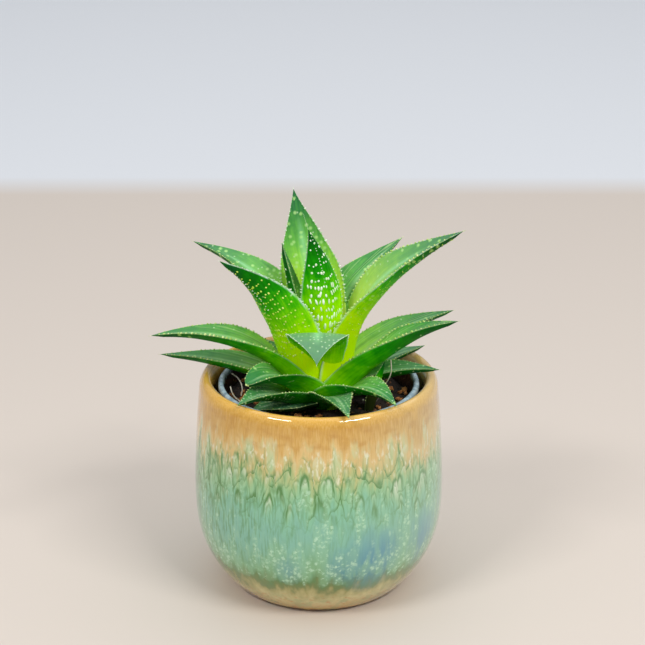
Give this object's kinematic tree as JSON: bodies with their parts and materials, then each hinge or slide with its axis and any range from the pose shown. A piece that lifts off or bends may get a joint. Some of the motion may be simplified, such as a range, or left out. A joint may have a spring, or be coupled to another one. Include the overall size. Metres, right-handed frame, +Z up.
{
  "type": "potted aloe plant",
  "caption": "Small lace aloe with keeled, toothed and white-dotted leaves, growing in a plastic nursery pot inside a rounded glazed cover pot.",
  "frame": {"origin": "centre of the cover pot's flat foot, on the surface that it stands on", "axes": "+Z up along the pot's axis, -Y towards the front of the plant as the picture shows it, +X to that view's right"},
  "size_m": [0.0926, 0.0765, 0.1197],
  "materials": {
    "glazed_stoneware": "gloss reactive glaze: honey tan at the lip running into sea green and blue-green, olive at the foot",
    "nursery_pot_plastic": "satin grey-blue polypropylene",
    "potting_soil": "matte dark potting mix with bark chips",
    "stem_tissue": "satin pale green stem",
    "aloe_leaf": "satin green leaf skin with white raised dots and pale toothed margins"
  },
  "bodies": {
    "root": {"cover_pot": "glazed_stoneware", "leaf_inner_back": "aloe_leaf", "leaf_inner_front": "aloe_leaf", "leaf_inner_left": "aloe_leaf", "leaf_lower_back": "aloe_leaf", "leaf_lower_back_left": "aloe_leaf", "leaf_lower_back_right": "aloe_leaf", "leaf_lower_front": "aloe_leaf", "leaf_lower_front_left": "aloe_leaf", "leaf_lower_front_right": "aloe_leaf", "leaf_lower_left": "aloe_leaf", "leaf_lower_right": "aloe_leaf", "leaf_lowest_back_right": "aloe_leaf", "leaf_lowest_front_left": "aloe_leaf", "leaf_middle_back": "aloe_leaf", "leaf_middle_back_left": "aloe_leaf", "leaf_middle_back_right": "aloe_leaf", "leaf_middle_front_left": "aloe_leaf", "leaf_middle_left": "aloe_leaf", "leaf_middle_right": "aloe_leaf", "leaf_offset": "aloe_leaf", "leaf_upper_back_left": "aloe_leaf", "leaf_upper_back_right": "aloe_leaf", "leaf_upper_front": "aloe_leaf", "leaf_upper_left": "aloe_leaf", "leaf_upper_right": "aloe_leaf", "nursery_pot": "nursery_pot_plastic", "potting_soil": "potting_soil", "stem": "stem_tissue"}
  },
  "joints": []
}
